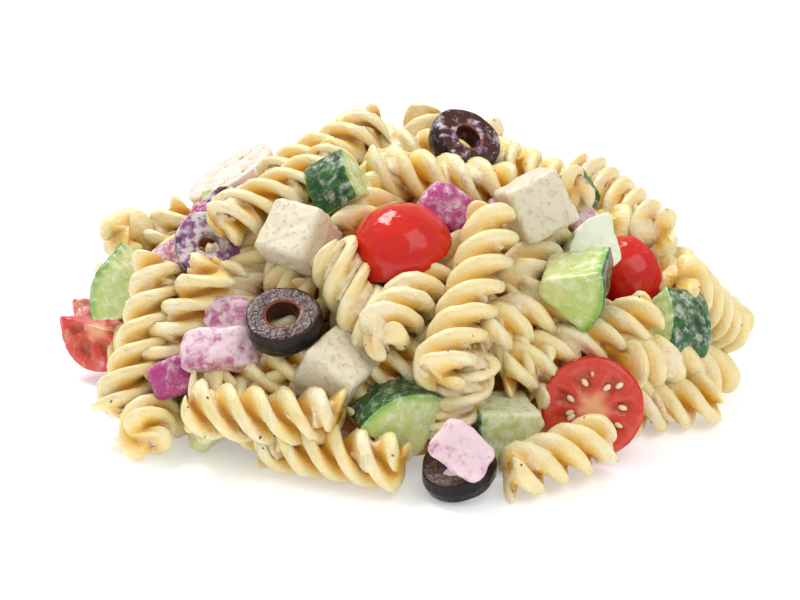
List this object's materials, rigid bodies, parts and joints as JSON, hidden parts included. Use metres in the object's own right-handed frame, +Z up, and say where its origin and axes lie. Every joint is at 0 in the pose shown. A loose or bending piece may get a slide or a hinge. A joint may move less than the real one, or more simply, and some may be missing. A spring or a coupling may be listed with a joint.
{
  "type": "pasta salad",
  "caption": "A heap of pasta salad: spiral pasta in a creamy dressing with halved cherry tomatoes, cucumber chunks, cheese cubes, olive rings and red onion, lying bare with no bowl",
  "frame": {"origin": "the middle of the heap's flat underside, on the surface that it lies on", "axes": "+Z up, +X to the right along the heap's widest extent as the picture shows it, +Y away from the viewer"},
  "size_m": [0.1724, 0.1645, 0.0674],
  "materials": {
    "pasta": "satin, coated in cream dressing",
    "tomato": "glossy wet skin, moist cut face",
    "cucumber": "dark green waxy skin, pale moist flesh",
    "cheese": "matt, slightly crumbly",
    "olive": "glossy, oily",
    "onion": "moist, with a thin film of dressing"
  },
  "bodies": {
    "root": {"pasta": "pasta", "tomato_crown": "tomato", "tomato_front": "tomato", "tomato_right": "tomato", "tomato_left": "tomato", "tomato_back_left": "tomato", "tomato_far_left": "tomato", "tomato_sunk": "tomato", "cucumber_top": "cucumber", "cucumber_left": "cucumber", "cucumber_front": "cucumber", "cucumber_low": "cucumber", "cucumber_right": "cucumber", "cucumber_coated": "cucumber", "cucumber_peek": "cucumber", "cucumber_slope": "cucumber", "cucumber_far": "cucumber", "cucumber_corner": "cucumber", "cucumber_bit": "cucumber", "cheese_left": "cheese", "cheese_right": "cheese", "cheese_front": "cheese", "olive_front": "olive", "olive_top": "olive", "olive_left": "olive", "olive_low": "olive", "olive_peek": "olive", "onion_olive_side": "onion", "onion_block": "onion", "onion_bright": "onion", "onion_crown": "onion", "onion_cheese_side": "onion", "onion_under_cheese": "onion", "onion_left_back": "onion", "onion_olive_top": "onion", "onion_bit": "onion", "onion_on_olive": "onion", "loose_twist": "pasta", "tomato_behind": "tomato", "cucumber_behind": "cucumber", "cheese_behind": "cheese", "olive_behind": "olive", "onion_behind": "onion"}
  },
  "joints": []
}
